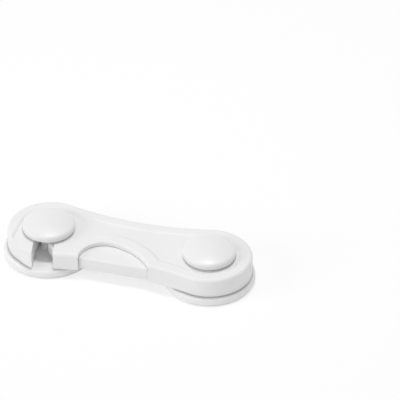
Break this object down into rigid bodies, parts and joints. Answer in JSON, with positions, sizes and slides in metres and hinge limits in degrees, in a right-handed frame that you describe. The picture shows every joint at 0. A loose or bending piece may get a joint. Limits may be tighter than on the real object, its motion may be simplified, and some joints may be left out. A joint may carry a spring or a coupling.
{
  "type": "cabinet safety lock",
  "caption": "Child-safety cabinet lock: a hook arm turns on a pivot stud and its slot catches a mushroom keeper stud, freed by a thumb button that draws a sprung catch.",
  "frame": {"origin": "on the panel's surface, under the foam pads, half the stud pitch from the pivot stud's axis towards the hook slot's blind end", "axes": "+X from the keeper stud to the pivot stud, +Y away from the side where the hook slot and thumb button open, +Z away from the panel"},
  "size_m": [0.107, 0.0389, 0.017],
  "materials": {
    "moulded_plastic": "satin white ABS moulding",
    "polished_plastic": "glossy white ABS moulding",
    "slippery_plastic": "natural white acetal",
    "foam_pad": "matt white adhesive foam",
    "plated_steel": "bright zinc plate",
    "spring_steel": "drawn spring wire"
  },
  "bodies": {
    "fixed_studs": {"pivot_base": "moulded_plastic", "pivot_pad": "foam_pad", "pivot_cap": "polished_plastic", "pivot_screw": "plated_steel", "keeper_base": "moulded_plastic", "keeper_pad": "foam_pad", "keeper_cap": "polished_plastic", "keeper_screw": "plated_steel"},
    "arm": {"arm_shell": "moulded_plastic", "back_cover": "moulded_plastic", "cover_screws": "plated_steel", "catch_spring": "spring_steel"},
    "button": {"release_button": "moulded_plastic"},
    "catch": {"catch": "slippery_plastic"}
  },
  "joints": [
    {"name": "arm_swing", "type": "hinge", "parent": "fixed_studs", "child": "arm", "pos_m": [0.0345, 0, 0.0081], "axis": [0, 0, -1], "range_deg": [0, 340]},
    {"name": "button_press", "type": "slide", "parent": "arm", "child": "button", "axis": [0, 1, 0], "range_m": [0, 0.003], "stiffness_N_per_m": 600, "springref_m": -0.004},
    {"name": "catch_draw", "type": "slide", "parent": "arm", "child": "catch", "axis": [1, 0, 0], "range_m": [0, 0.003], "deforming": ["catch_spring"]}
  ],
  "couplings": [
    {"joint": "catch_draw", "follows": "button_press", "ratio": 1}
  ]
}
